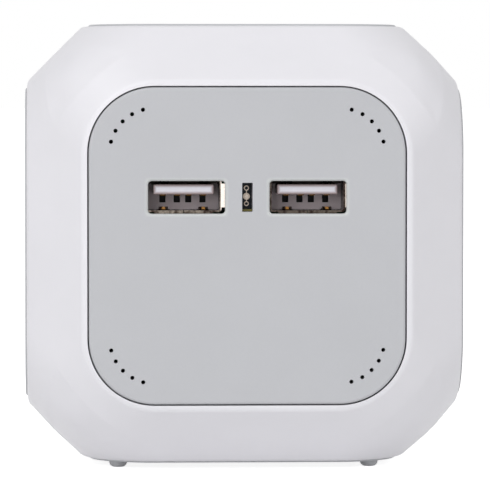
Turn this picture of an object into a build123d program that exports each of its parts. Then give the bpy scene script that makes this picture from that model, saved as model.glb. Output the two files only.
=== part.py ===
from build123d import *
import os
from math import radians, sqrt, tan

# Cube power strip: a white cube housing in two halves with 45 degree strips along its edges,
# a grey panel in each of its six faces, four earthed mains sockets with rotary shutters, and
# a USB charger behind the front panel. Millimetres, +Z up, the front faces -Y, and the origin
# is under the middle of the cube, level with the bottom of its four nubs.

# Cube housing
cube_across = 77.0            # from panel face to opposite panel face
panel_proud = 0.3             # how far each panel stands out of the housing
strip_leg = 9.75              # each leg of the 45 degree strips along the edges
crease_round = 19.0           # rounding of the creases that meet at each corner of the cube
lip_round = 1.7               # rounding from the strips onto the rims of the openings
strip_wall = 2.2
rim_depth = 5.6               # depth of the rim around each opening
corner_wall = 2.4             # least wall behind the rounded corners
seam_width = 0.24
seam_depth = 0.35

# Panels
rim_land = 0.1                # flat left on the housing between a lip and the opening
panel_corner = 11.4
panel_gap = 0.25              # gap all round between a panel and its opening
panel_edge_round = 0.45
panel_thick = 2.9
flange_width = 1.6            # how far the flange behind a panel reaches past it
flange_thick = 1.5
groove_play = 0.1

# Mains sockets
well_radius = 20.0
well_mouth_round = 0.7
well_wall = 1.5
well_floor = 2.0
well_floor_chamfer = 1.5
neighbour_gap = 0.5           # between the wells of two sockets that meet at an edge
rib_width = 5.0
rib_height = 2.1
rib_below_face = 1.5
boss_into_floor = 0.5         # how far a blind screw hole or post reaches into its plate
pin_radius = 2.4
pin_spacing = 19.0
pin_hole_radius = 2.65
pin_hole_flare = 0.6

# Shutter, its post and its spring
post_radius = 1.5
shutter_play = 0.08           # radial play of the shutter on its post
shutter_gap = 0.15
shutter_depth = 3.05
shutter_hub_radius = 3.3
shutter_blade_half = 3.3
shutter_blade_thick = 1.0
shutter_lap = 1.05            # how far a blade reaches past the pin hole that it covers
spring_metal = 0.4
spring_anchor_radius = 0.9
spring_anchor_past = 0.3      # how far the anchor reaches past the spring
spring_anchor_at = (-6.4, 11.2)   # along and across the line of the pins
spring_tip_along = -12.0
spring_play = 0.1

# Contact carriers
carrier_plate = 1.5
carrier_boss_at = (6.0, 9.0)     # along and across the line of the pins
carrier_boss_radius = 2.0
carrier_across = 23.2
carrier_gap = 0.2
carrier_clearance = 0.6       # from each carrier's plate to the towers of its neighbours
tower_half_width = 3.8
tower_end = 3.0               # distance of the towers' ends from the middle of the cube
tower_ledge = 0.8
contact_metal = 0.6
contact_play = 0.05           # between the contact's leaves and the plug's pin
contact_pocket_play = 0.1
contact_corner = 0.5
contact_below_plate = 0.2     # from the contact's end to the front of the carrier
tower_side = 0.3              # wall of a tower outside its contact
contact_seat_play = 0.05
carrier_corner = 3.0
contact_tab_width = 2.4
contact_tab_at = 5.0
screw_shank_radius = 0.8
screw_head_radius = 1.7
screw_head_height = 1.1
screw_length = 4.6

# Earth clips
clip_metal = 0.6
clip_width = 5.6
clip_leg_at = 18.1            # radius at which a clip's legs pass the floor of the well
clip_bow = 1.9                # how far the bow of a clip reaches towards the plug
clip_hole_play = 0.25
clip_tail_width = 3.0
clip_tail_at = 16.5
clip_tail_end = 16.0
clip_leg_inset = 0.9          # of the bends at the bow's ends, from the wall of the well
clip_bends = (0.3, 0.58, 0.8) # how far up the well the bow begins, peaks and ends

# Link strips
link_metal = 0.8
link_width = 3.2
link_offset = 4.9
link_end_inset = 1.0          # from the carriers' backs to the ends of the long strips
earth_arm_clearance = 0.6     # past the sweep of the shutters

# Windows, indicator slot and vents of the front panel
usb_window_spacing = 21.0
usb_row = 8.4                 # height of the windows above the middle
usb_window = (13.3, 5.65)
usb_window_corner = 0.6
usb_window_round = 0.45
usb_window_wall = 1.2         # the panel is thinner round the windows, to clear the shells
pocket_play = 0.25
led_window = (1.84, 5.04)
vent_radius = 0.365
vent_arc = 7.8
vent_step = 15.0
vents_per_corner = 5

# USB receptacles
shell_inside = (12.5, 5.12)
shell_corner = 0.6
shell_metal = 0.3
shell_shifts = (-0.5, -0.05)  # each shell's middle from that of its window, left and right
shell_rise = 0.3
mouth_gap = 0.1               # between the mouths of the shells and the panel
lip_width = 0.6
lip_lengths = (10.1, 4.1)     # the lips along the long and the short sides of the mouth
finger_at = 3.45
finger_width = 1.6
finger_metal = 0.2
finger_slot_width = 2.2
finger_root_clearance = 1.1   # in front of the tongue's block
finger_below_mouth = 0.9
finger_bow = 0.5
tongue_size = (10.5, 1.77)
tongue_recess = 0.6           # behind the mouth of the shell
tongue_rise = 1.05            # above the middle of the shell
block_depth = 4.8             # of the block that carries the tongue
contact_pitch = (2.5, 2.0, 2.5)
contact_hole = (1.1, 1.54)
contact_hole_depth = 2.16
usb_contact_metal = 0.2
usb_contact_recess = 2.1      # behind the front of the tongue

# Board of the charger
board_side = 46.0
board_corner = 2.0
board_thick = 1.6
board_behind_wells = 1.8      # clear of the sockets' wells
board_post_at = 19.6
board_post_radius = 2.3
board_hole_play = 0.1

# Parts on the board: across, up and height, then where they stand across and up
part_headroom = 0.8           # between the tallest parts and the front panel
part_round = 0.5
core_size = (13.0, 12.0)
core_at = (-12.0, -9.0)
core_below_room = 0.2
core_wall = 1.8
core_window = 8.4
core_leg = 3.4
winding_overhang = 1.5
winding_play = 0.1
input_can = (4.0, 1.5, -13.0)         # radius, and where it stands
output_can_radius = 2.6
output_can_below_room = 0.4
output_cans_at = ((-1.5, -4.0), (4.2, -4.0))
film_size = (12.0, 6.0)
film_at = (12.5, -13.0)
fuse_size = (8.5, 4.0, 4.5)
fuse_at = (13.5, -6.0)
chip_size = (5.0, 4.0, 1.6)
chip_at = (11.0, -1.0)

# Indicator
led_size = (2.6, 5.8)
led_behind_panel = 0.1
led_holder_wall = 1.0
led_holder_play = 0.05
led_holder_recess = 0.2
led_cup_radius = 0.6
led_cup_rise = 0.08           # above the middle of the slot
led_ring_radius = 0.43
led_ring_width = 0.14
led_ring_rises = (1.52, -1.19)
led_frame_metal = 0.12

# Base nubs
nub_height = 1.1
nub_radius = 1.6
nub_flat_radius = 0.8
nub_inset = 5.2               # from the sides of the panel

# Cord inlet
inlet_bore_radius = 4.0
inlet_sleeve_radius = 5.0
inlet_sleeve_length = 8.0
inlet_collar_radius = 6.0
inlet_collar_height = 1.2
inlet_collar_round = 0.72
inlet_relief = 0.6

# Housing screws
corner_boss_inset = 5.4       # from the level of the rims' backs
corner_boss_radius = 3.4
corner_boss_past_rim = 0.2
corner_screw_radius = 1.3
corner_head_radius = 2.2
corner_head_height = 1.8
corner_head_at = 12.0
corner_screw_end = 13.0
corner_recess_play = 0.2

# Places that follow from the sizes above, as distances from the middle of the cube
face = cube_across / 2
housing_half = face - panel_proud
rim_back = housing_half - rim_depth
panel_back = face - panel_thick
flange_back = panel_back - flange_thick
opening_side = 2 * (housing_half - strip_leg - lip_round * tan(radians(22.5)) - rim_land)
panel_side = opening_side - 2 * panel_gap
flange_side = panel_side + 2 * flange_width
flange_corner = panel_corner + flange_width
well_outside = well_radius + well_wall
corner_boss_at = rim_back - corner_boss_inset
pin_at = pin_spacing / 2
leaf_at = pin_radius + contact_play
contact_inside = pin_at - pin_radius
contact_outside = pin_at + pin_radius + contact_metal
tower_outside = contact_outside + contact_pocket_play + tower_side
carrier_back = tower_outside + carrier_clearance
carrier_front = carrier_back + carrier_plate
shutter_back = carrier_front + carrier_gap
shutter_front = shutter_back + shutter_depth
clip_back = shutter_front + shutter_gap
floor_back = clip_back + clip_metal
floor_front = floor_back + well_floor
shutter_reach = pin_at + pin_hole_radius + shutter_lap
board_back = well_outside + board_behind_wells
board_front = board_back + board_thick
part_room = flange_back - part_headroom - board_front
shell_outside = (shell_inside[0] + 2 * shell_metal, shell_inside[1] + 2 * shell_metal)
shell_mouth = face - usb_window_wall - mouth_gap
tongue_front = shell_mouth - tongue_recess
block_back = board_front + shell_metal
block_front = block_back + block_depth
contact_from = block_front - contact_hole_depth
finger_high = shell_mouth - finger_below_mouth
finger_low = block_front + finger_root_clearance
led_front = flange_back - led_behind_panel
strip_plane = (2 * housing_half - strip_leg) / sqrt(2)

middle = Vector(0, 0, face + nub_height)

# Each face of the cube: which way it looks, and the line on which its pins or windows lie
outlook = {
    "front": ((0, -1, 0), (1, 0, 0)),
    "rear": ((0, 1, 0), (0, 0, 1)),
    "right": ((1, 0, 0), (0, 1, 0)),
    "left": ((-1, 0, 0), (0, -1, 0)),
    "top": ((0, 0, 1), (1, 0, 0)),
    "base": ((0, 0, -1), (1, 0, 0)),
}
socket_faces = ("left", "right", "top", "rear")


def on_face(name, shape):
    """Take a shape that was made looking up from the cube's middle to its place on a face."""
    looks, along = outlook[name]
    return Plane(origin=middle, x_dir=along, z_dir=looks).location * shape


def slab(side, corner, low, high):
    """A rounded square plate between two distances from the cube's middle."""
    return Pos(0, 0, low) * extrude(RectangleRounded(side, side, corner), high - low)


def rod(radius, low, high, x=0.0, y=0.0):
    """A round rod along Z between two heights."""
    return Pos(x, y, low) * extrude(Circle(radius), high - low)


def block(size_x, size_y, low, high, x=0.0, y=0.0):
    """A rectangular block between two heights."""
    return Pos(x, y, low) * extrude(Rectangle(size_x, size_y), high - low)


def strip(low, high):
    """A straight run of flat metal between two opposite corners, relative to the middle."""
    size = [b - a for a, b in zip(low, high)]
    place = [(a + b) / 2 for a, b in zip(low, high)]
    return Pos(*place) * Box(*size)


def cube_form(half, leg):
    """A cube with 45 degree strips along its edges: three octagonal bars crossed."""
    bar = extrude(chamfer(Rectangle(2 * half, 2 * half).vertices(), leg), half, both=True)
    return bar & Rot(90, 0, 0) * bar & Rot(0, 90, 0) * bar


def corner_creases(form):
    """The creases that run to the corners of the cube, where all three distances are equal."""
    def at_corner(vertex):
        x, y, z = abs(vertex.X), abs(vertex.Y), abs(vertex.Z)
        return max(abs(x - y), abs(y - z)) < 0.001
    return [edge for edge in form.edges() if any(at_corner(v) for v in edge.vertices())]


def flat_outlines(form, half):
    """The edges of the six flats that a cube form keeps at a distance from its middle."""
    flats = [f for f in form.faces() if abs(max(abs(c) for c in f.center()) - half) < 0.001]
    return [edge for flat in flats for edge in flat.outer_wire().edges()]


def housing_form():
    """The outside of the housing, with its corners and the rims' lips rounded."""
    form = cube_form(housing_half, strip_leg)
    form = fillet(corner_creases(form), crease_round)
    return fillet(flat_outlines(form, housing_half), lip_round)


def housing_cavity():
    """The hollow of the housing, behind the strips, the rims and the rounded corners."""
    inner_leg = 2 * rim_back - strip_plane * sqrt(2) + strip_wall * sqrt(2)
    corner_reach = sqrt(3) * (housing_half - strip_leg / 2) - crease_round * (sqrt(1.5) - 1)
    return cube_form(rim_back, inner_leg) & Sphere(corner_reach - corner_wall)


def panel_opening():
    """What one panel needs out of the housing: its opening and the groove for its flange."""
    opening = slab(opening_side, panel_corner + panel_gap, rim_back - 1, face + 1)
    groove = slab(flange_side + 2 * panel_gap, flange_corner + panel_gap,
                  flange_back - groove_play, panel_back + groove_play)
    return opening + groove


def at_inlet(shape):
    """Take a shape made along Z to the lower rear strip, square to it."""
    return Plane(origin=middle, x_dir=(1, 0, 0), z_dir=(0, 1, -1)).location * shape


def inlet_clearance(radius):
    return at_inlet(rod(radius, strip_plane - inlet_sleeve_length - 3, strip_plane + 2))


def corner_places():
    return [(x, z) for x in (-corner_boss_at, corner_boss_at)
            for z in (-corner_boss_at, corner_boss_at)]


def along_depth(radius, front, back, place):
    """A round rod along the cube's depth, at a place across its front."""
    return Pos(0, 0, middle.Z) * Rot(-90, 0, 0) * rod(radius, front, back, place[0], -place[1])


def housing_shell():
    """Both halves in one: the hollow form with its six openings and the inlet's hole."""
    shell = housing_form() - housing_cavity()
    post_end = rim_back + corner_boss_past_rim
    for place in corner_places():
        shell += Rot(-90, 0, 0) * rod(corner_boss_radius, -post_end, post_end, *place)
    shell = Pos(*middle) * shell
    for name in outlook:
        shell -= on_face(name, panel_opening())
    shell -= inlet_clearance(inlet_sleeve_radius)
    return shell


def seam_ring():
    """The shallow groove that shows where the two halves meet."""
    ring = cube_form(housing_half + 1, strip_leg)
    ring -= cube_form(housing_half - seam_depth, strip_leg - (2 - sqrt(2)) * seam_depth)
    return Pos(*middle) * (ring & Box(3 * face, seam_width, 3 * face))


def half_space(side):
    """Everything in front of the seam, or behind it."""
    return Pos(0, side * face, middle.Z) * Box(3 * face, 2 * face, 3 * face)


def housing_halves():
    shell = housing_shell() - seam_ring()
    front = shell & half_space(-1)
    rear = shell & half_space(1)
    for place in corner_places():
        front -= along_depth(corner_screw_radius, -corner_screw_end - 1, 0, place)
        rear -= along_depth(corner_screw_radius + corner_recess_play, 0, corner_head_at, place)
        rear -= along_depth(corner_head_radius + corner_recess_play, corner_head_at, face,
                            place)
    return front, rear


def housing_screws():
    screws = []
    for place in corner_places():
        shank = along_depth(corner_screw_radius, -corner_screw_end, corner_head_at, place)
        head = along_depth(corner_head_radius, corner_head_at,
                           corner_head_at + corner_head_height, place)
        screws.append(shank + head)
    return screws


def panel_plate():
    """The plate that every panel starts from: rounded face, and a flange behind it."""
    plate = slab(panel_side, panel_corner, panel_back, face)
    plate = fillet(plate.faces().sort_by(Axis.Z)[-1].edges(), panel_edge_round)
    return plate + slab(flange_side, flange_corner, flange_back, panel_back)


def well_outer():
    """The outside of a socket's well, with its floor's edge cut back at 45 degrees."""
    cut = well_outside - floor_back + neighbour_gap
    profile = Polyline((0, floor_back), (well_outside - cut, floor_back),
                       (well_outside, floor_back + cut), (well_outside, panel_back),
                       (0, panel_back), close=True)
    return revolve(Plane.XZ * make_face(profile), Axis.Z)


def well_hollow():
    """The hollow that the plug goes into."""
    profile = Polyline((0, floor_front), (well_radius - well_floor_chamfer, floor_front),
                       (well_radius, floor_front + well_floor_chamfer), (well_radius, face + 1),
                       (0, face + 1), close=True)
    return revolve(Plane.XZ * make_face(profile), Axis.Z)


def guide_ribs():
    """The two ribs that fit the grooves in the sides of a plug, on the line of the pins."""
    ribs = block(2 * well_radius + well_wall, rib_width, floor_front, face - rib_below_face)
    hollow = rod(well_radius - rib_height, floor_front - 1, face)
    return (ribs - hollow) & rod(well_radius + well_wall / 2, floor_front, face)


def clip_slots():
    """The slots in a well's floor for the legs of the earth clip."""
    return [block(clip_width + 2 * clip_hole_play, clip_metal + 2 * clip_hole_play,
                  floor_back - 1, floor_front + 1, 0, side * clip_leg_at) for side in (-1, 1)]


def socket_panel():
    """A panel with a well, pin holes, and a post and two bosses behind its floor."""
    panel = panel_plate() + well_outer() - well_hollow()
    mouth = [e for e in panel.edges().filter_by(GeomType.CIRCLE)
             if abs(e.radius - well_radius) < 0.001 and abs(e.center().Z - face) < 0.001]
    panel = fillet(mouth, well_mouth_round) + guide_ribs()
    for side in (-1, 1):
        hole = rod(pin_hole_radius, floor_back - 1, floor_front + 1, side * pin_at)
        flare = Pos(side * pin_at, 0, floor_front - pin_hole_flare / 2) * Cone(
            pin_hole_radius, pin_hole_radius + pin_hole_flare, pin_hole_flare)
        panel = panel - hole - flare
        place = (side * carrier_boss_at[0], side * carrier_boss_at[1])
        panel += rod(carrier_boss_radius, carrier_front, floor_back, *place)
        panel -= rod(screw_shank_radius, carrier_front - 1, floor_back + boss_into_floor,
                     *place)
    for slot in clip_slots():
        panel -= slot
    anchor_end = shutter_front - shutter_blade_thick - spring_anchor_past
    anchor = rod(spring_anchor_radius, anchor_end, floor_back, *spring_anchor_at)
    return panel + rod(post_radius, shutter_back, floor_back) + anchor


def shutter():
    """A hub with two slanted blades, which the plug's pins push aside as they come in."""
    low, high = shutter_back, shutter_front
    half, thick = shutter_blade_half, shutter_blade_thick
    ramp = Polyline((-half, high), (-half + thick, high), (half, low + thick), (half, low),
                    (half - thick, low), (-half, high - thick), close=True)
    blade = extrude(Plane.YZ * make_face(ramp), shutter_reach)
    turner = blade + Rot(0, 0, 180) * blade
    hub = rod(shutter_hub_radius, low, high)
    return turner + hub - rod(post_radius + shutter_play, low - 1, high + 1)


def shutter_spring():
    """A leaf spring, hooked round its anchor, whose tip lies against one blade of the shutter."""
    x, y = spring_anchor_at
    away = spring_anchor_radius + spring_metal / 2 + spring_play
    tip = shutter_blade_half + spring_metal / 2 + spring_play
    line = Polyline((x + away, y), (x + away, y + away), (x - away, y + away), (x - away, y - away),
                    (spring_tip_along, tip))
    low = shutter_front - shutter_blade_thick
    return Pos(0, 0, low) * extrude(trace(line, spring_metal), shutter_blade_thick)


def pin_contact(side, tab_side):
    """A strip bent round a pin: a back, two leaves, and a tab to the link strip."""
    low, high = tower_end + tower_ledge, carrier_front - contact_below_plate
    outer = block(contact_outside - contact_inside, 2 * (leaf_at + contact_metal), low, high,
                  (contact_outside + contact_inside) / 2)
    inner = block(contact_outside - contact_inside, 2 * leaf_at, low - 1, high + 1,
                  (contact_outside + contact_inside) / 2 - contact_metal)
    bends = (outer - inner).edges().filter_by(Axis.Z).sort_by(Axis.X)[-2:]
    channel = fillet(bends, contact_corner)
    tab = block(contact_tab_width, link_offset - leaf_at, contact_tab_at,
                contact_tab_at + contact_metal, pin_at, tab_side * (link_offset + leaf_at) / 2)
    contact = channel + tab
    return contact if side > 0 else mirror(contact, Plane.YZ)


def carrier():
    """A plate behind the shutter, with a tower around each of the two contacts."""
    plate = Pos(0, 0, carrier_back) * extrude(
        RectangleRounded(2 * tower_outside, carrier_across, carrier_corner), carrier_plate)
    pocket_low = tower_end + tower_ledge - contact_seat_play
    pocket_half = leaf_at + contact_metal + contact_pocket_play
    for side in (-1, 1):
        tower_inside = contact_inside - contact_metal
        centre = side * (tower_inside + tower_outside) / 2
        plate += block(tower_outside - tower_inside, 2 * tower_half_width, tower_end,
                       carrier_front - carrier_plate / 2, centre)
        pocket_from = contact_inside - contact_pocket_play
        pocket_to = contact_outside + contact_pocket_play
        plate -= block(pocket_to - pocket_from, 2 * pocket_half, pocket_low, carrier_front + 1,
                       side * (pocket_from + pocket_to) / 2)
        plate -= rod(pin_hole_radius, tower_end - 1, carrier_front + 1, side * pin_at)
        slot_from = contact_tab_at - contact_pocket_play
        plate -= block(contact_tab_width + 2 * contact_pocket_play, 3 * tower_half_width,
                       slot_from, contact_tab_at + contact_metal + contact_pocket_play,
                       side * pin_at)
        plate -= rod(screw_shank_radius, carrier_back - 1, carrier_front + 1,
                     side * carrier_boss_at[0], side * carrier_boss_at[1])
    return plate


def carrier_screw(side):
    place = (side * carrier_boss_at[0], side * carrier_boss_at[1])
    head = rod(screw_head_radius, carrier_back - screw_head_height, carrier_back, *place)
    return head + rod(screw_shank_radius, carrier_back, carrier_back + screw_length, *place)


def earth_clip():
    """A stirrup under the well's floor, with a bowed leg up each side of the well."""
    web_level = clip_back + clip_metal / 2
    start, peak, end = (floor_front + part * (face - floor_front) for part in clip_bends)
    bend_at = well_radius - clip_leg_inset
    leg = Polyline((0, web_level), (clip_leg_at, web_level), (clip_leg_at, floor_front),
                   (bend_at, start), (bend_at - clip_bow, peak), (bend_at, end))
    half = extrude(Plane.YZ * trace(leg, clip_metal), clip_width / 2, both=True)
    stirrup = half + mirror(half, Plane.XZ)
    stirrup -= rod(post_radius + clip_hole_play, clip_back - 1, floor_back + 1)
    tail = block(clip_tail_width, clip_metal, clip_tail_end, web_level, 0, -clip_tail_at)
    return stirrup + tail


def live_link():
    """Joins the live contacts: a plate over the side sockets' contacts, and two branches."""
    near, far = link_offset, link_offset + link_metal
    reach = pin_at + link_width / 2
    end = carrier_back - link_end_inset
    link = strip((-end, pin_at - link_width / 2, near), (end, pin_at + link_width / 2, far))
    link += strip((-reach, link_offset, near), (-reach + link_width, pin_at, far))
    link += strip((near, contact_tab_at - link_end_inset, near), (far, pin_at, reach))
    return Pos(*middle) * link


def neutral_link():
    """Joins the neutral contacts, under the middle of the cube."""
    near, far = link_offset, link_offset + link_metal
    reach = pin_at + link_width / 2
    tab_top = contact_tab_at + contact_metal
    end = carrier_back - link_end_inset
    link = strip((-end, -pin_at - link_width / 2, -far), (end, -pin_at + link_width / 2, -near))
    link += strip((reach - link_width, -pin_at, -far), (reach, -near, -near))
    link += strip((reach - link_width, -far, -far), (reach, -near, tab_top))
    link += strip((-far, -pin_at, -reach), (-near, tab_top, -near))
    return Pos(*middle) * link


def earth_link():
    """Joins the tails of the four earth clips."""
    low, high = clip_tail_at - clip_metal / 2, clip_tail_at + clip_metal / 2
    half = clip_tail_width / 2
    link = strip((-clip_tail_end, -half, -high), (clip_tail_end, half, -low))
    link += strip((-half, -high, -high), (half, 0, -low))
    link += strip((-half, -high, -high), (half, -low, clip_tail_end))
    arm_at = shutter_reach + earth_arm_clearance
    link += strip((-clip_tail_end, -half, -high), (-clip_tail_end + half, clip_tail_end, -low))
    link += strip((-high, arm_at, -high), (-clip_tail_end + half, clip_tail_end, -low))
    link += strip((-high, arm_at, -high), (-low, clip_tail_end, half))
    return Pos(*middle) * link


def vent_places():
    """Five holes in each corner of the panel, on an arc round the centre of that corner."""
    centre = panel_side / 2 - panel_corner
    first = 45 - vent_step * (vents_per_corner - 1) / 2
    places = []
    for quarter in range(4):
        turned = Rot(0, 0, 90 * quarter)
        for step in range(vents_per_corner):
            arm = Rot(0, 0, first + step * vent_step) * Pos(vent_arc, 0, 0)
            spot = turned * Pos(centre, centre, 0) * arm
            places.append((spot.position.X, spot.position.Y))
    return places


def usb_windows():
    """Where the two windows of the front panel lie along it."""
    return (-usb_window_spacing / 2, usb_window_spacing / 2)


def usb_places():
    """Where the two receptacles stand behind the panel, across and up."""
    return [(x + shift, usb_row + shell_rise) for x, shift in zip(usb_windows(), shell_shifts)]


def board_posts():
    return [(x, y) for x in (-board_post_at, board_post_at)
            for y in (-board_post_at, board_post_at)]


def front_panel():
    """The plate with its windows, slot and vents, a pocket behind each window, and posts."""
    panel = panel_plate()
    through = panel_thick + flange_thick + 2
    for x in usb_windows():
        panel -= Pos(x, usb_row, flange_back - 1) * extrude(
            RectangleRounded(*usb_window, usb_window_corner), through)
    panel -= Pos(0, usb_row, flange_back - 1) * extrude(Rectangle(*led_window), through)
    rims = [e for e in panel.faces().sort_by(Axis.Z)[-1].inner_wires().edges()
            if abs(e.center().X) > usb_window_corner + led_window[0]]
    panel = fillet(rims, usb_window_round)
    pocket = [size + 2 * (lip_width + pocket_play) for size in shell_outside]
    for place in usb_places():
        panel -= block(*pocket, flange_back - 1, face - usb_window_wall, *place)
    panel -= Compound([rod(vent_radius, flange_back - 1, face + 1, *place)
                       for place in vent_places()])
    for place in board_posts():
        panel += rod(board_post_radius, board_front, flange_back + boss_into_floor, *place)
        panel -= rod(screw_shank_radius, board_front - 1, board_front + screw_length, *place)
    return panel


def base_panel():
    panel = panel_plate() - at_inlet_from_base()
    nub_at = panel_side / 2 - nub_inset
    for x in (-nub_at, nub_at):
        for y in (-nub_at, nub_at):
            nub = Pos(x, y, face + nub_height / 2) * Cone(nub_radius, nub_flat_radius,
                                                          nub_height)
            panel += nub
    return panel


def at_inlet_from_base():
    """The room that the cord's inlet needs, in the base panel's own directions."""
    return on_face("base", Pos(0, 0, 0)).inverse() * inlet_clearance(
        inlet_sleeve_radius + inlet_relief)


def shell_finger(side):
    """A sprung finger cut out of the shell's top or bottom, bent into the mouth."""
    level = side * (shell_inside[1] + shell_metal) / 2
    tip = finger_high - shell_metal
    inward = level - side * (finger_bow + shell_metal / 2)
    line = Polyline((level, finger_low), (inward, (finger_low + 2 * tip) / 3), (level, tip))
    return extrude(Plane.YZ * trace(line, finger_metal), finger_width / 2, both=True)


def usb_shell():
    """A folded steel shell round one receptacle, with a lip along each side of its mouth."""
    wide, tall = shell_outside
    long_lip, short_lip = lip_lengths
    lip_low = shell_mouth - shell_metal
    shell = Pos(0, 0, board_front) * extrude(RectangleRounded(wide, tall, shell_corner),
                                             shell_mouth - board_front)
    shell += block(long_lip, tall + 2 * lip_width, lip_low, shell_mouth)
    shell += block(wide + 2 * lip_width, short_lip, lip_low, shell_mouth)
    shell -= Pos(0, 0, board_front + shell_metal) * extrude(
        RectangleRounded(*shell_inside, shell_corner - shell_metal), shell_mouth - board_front)
    for x in (-finger_at, finger_at):
        shell -= block(finger_slot_width, 2 * tall, finger_low, finger_high, x)
        for side in (-1, 1):
            shell += Pos(x, 0, 0) * shell_finger(side)
    return shell


def contact_places():
    first = -sum(contact_pitch) / 2
    return [first + sum(contact_pitch[:count]) for count in range(4)]


def usb_tongue():
    """The block that closes the back of a shell, with the tongue that carries contacts."""
    tongue = Pos(0, 0, block_back) * extrude(
        RectangleRounded(*shell_inside, shell_corner - shell_metal), block_front - block_back)
    tongue += block(*tongue_size, block_back, tongue_front, 0, tongue_rise)
    under = tongue_rise - tongue_size[1] / 2
    for x in contact_places():
        tongue -= block(*contact_hole, contact_from, block_front + 1, x,
                        under - contact_hole[1] / 2)
    return tongue


def usb_contacts():
    """Four contact strips that come out of the block along the underside of the tongue."""
    level = tongue_rise - (tongue_size[1] + usb_contact_metal) / 2
    return [block(contact_hole[0] - 2 * contact_play, usb_contact_metal, contact_from,
                  tongue_front - usb_contact_recess, x, level) for x in contact_places()]


def usb_board():
    board = Pos(0, 0, board_back) * extrude(
        RectangleRounded(board_side, board_side, board_corner), board_thick)
    for place in board_posts():
        board -= rod(screw_shank_radius + board_hole_play, board_back - 1, board_front + 1,
                     *place)
    return board


def board_screw(place):
    head = rod(screw_head_radius, board_back - screw_head_height, board_back, *place)
    return head + rod(screw_shank_radius, board_back, board_back + screw_length, *place)


def led_holder():
    """The black spacer that holds the indicator behind its slot."""
    inside = [size + 2 * led_holder_play for size in led_size]
    outside = [size + 2 * led_holder_wall for size in inside]
    high = led_front - led_holder_recess
    return block(*outside, board_front, high, 0, usb_row) - block(
        *inside, board_front - 1, high + 1, 0, usb_row)


def led_body():
    """The indicator's body of cast epoxy."""
    return block(*led_size, board_front, led_front, 0, usb_row)


def led_frame():
    """The metal that shows in the indicator: a cup, a ring above and below it, and a link."""
    high = led_front + led_frame_metal
    frame = rod(led_cup_radius, led_front, high, 0, usb_row + led_cup_rise)
    for rise in led_ring_rises:
        frame += rod(led_ring_radius, led_front, high, 0, usb_row + rise)
    frame += block(led_ring_width, led_ring_rises[0] - led_ring_rises[1], led_front, high, 0,
                   usb_row + sum(led_ring_rises) / 2)
    for rise in led_ring_rises:
        frame -= rod(led_ring_radius - led_ring_width, led_front - 1, high + 1, 0,
                     usb_row + rise)
    return frame


def core_levels():
    """The bottom and top of the transformer's core, and of the window through it."""
    high = board_front + part_room - core_below_room
    return board_front, high, board_front + core_wall, high - core_wall


def transformer_core():
    """A closed ferrite frame with a leg through the middle of its window."""
    low, high, window_low, window_high = core_levels()
    core = block(*core_size, low, high, *core_at)
    core -= block(core_window, 2 * core_size[1], window_low, window_high, *core_at)
    return core + block(core_leg, core_size[1], low, high, *core_at)


def transformer_winding():
    """The wire wound round the leg, which stands out of both sides of the core."""
    low, high, window_low, window_high = core_levels()
    length = core_size[1] + 2 * winding_overhang
    winding = block(core_window - 2 * winding_play, length, window_low + winding_play,
                    window_high - winding_play, *core_at)
    return winding - block(core_leg + 2 * winding_play, core_size[1] + 2 * winding_play, low,
                           high, *core_at)


def can(radius, height, x, y):
    """An electrolytic capacitor: a can with a rounded top edge."""
    body = rod(radius, board_front, board_front + height, x, y)
    return fillet(body.faces().sort_by(Axis.Z)[-1].edges(), part_round)


def flat_part(size_x, size_y, height, x, y):
    body = block(size_x, size_y, board_front, board_front + height, x, y)
    return fillet(body.faces().sort_by(Axis.Z)[-1].edges(), part_round)


def inlet_gland():
    """The rubber bush that lines the cord's hole in the lower rear strip."""
    sleeve = rod(inlet_sleeve_radius, strip_plane - inlet_sleeve_length, strip_plane)
    collar = rod(inlet_collar_radius, strip_plane, strip_plane + inlet_collar_height)
    collar = fillet(collar.faces().sort_by(Axis.Z)[-1].edges(), inlet_collar_round)
    bore = rod(inlet_bore_radius, strip_plane - inlet_sleeve_length - 1,
               strip_plane + inlet_collar_height + 1)
    return at_inlet(sleeve + collar - bore)


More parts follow.
